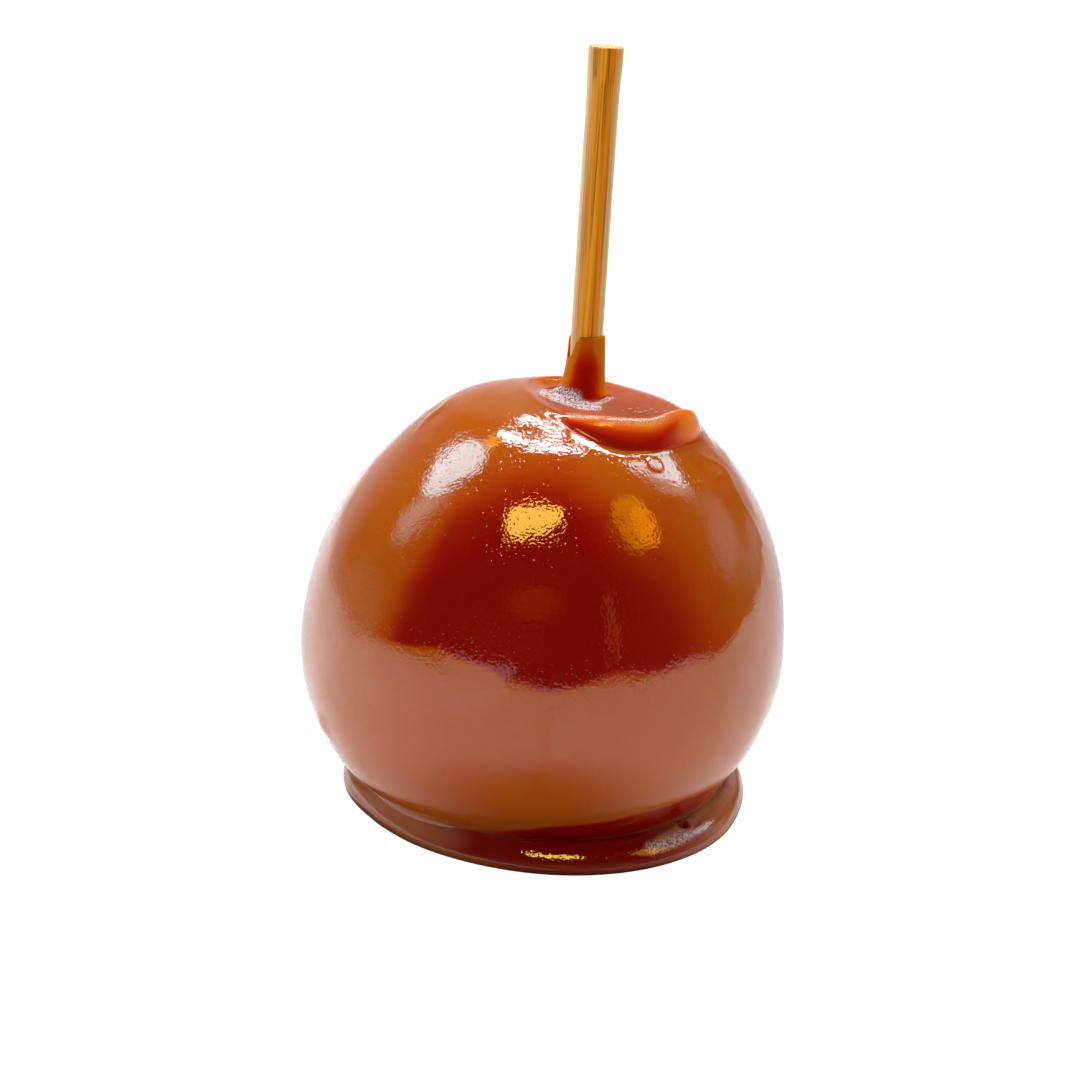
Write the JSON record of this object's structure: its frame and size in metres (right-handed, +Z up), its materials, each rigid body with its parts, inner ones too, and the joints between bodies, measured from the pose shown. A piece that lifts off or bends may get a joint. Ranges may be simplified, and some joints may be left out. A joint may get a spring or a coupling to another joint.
{
  "type": "caramel apple",
  "caption": "Round apple fully coated in glossy caramel, with a flat puddled foot to stand on, a folded lip of caramel at the crown and a round bamboo stick to hold it by.",
  "frame": {"origin": "On the flat base, directly below the centre of the apple's widest circle.", "axes": "+Z up, along the height. +Y away from the side with the folded lip. +X to the side that the stick leans to."},
  "size_m": [0.0861, 0.0862, 0.1354],
  "materials": {
    "caramel": "glossy translucent caramel with a fine grain",
    "bamboo": "dry bamboo with long fibres"
  },
  "bodies": {
    "root": {"caramel_coat": "caramel", "stick": "bamboo"}
  },
  "joints": []
}
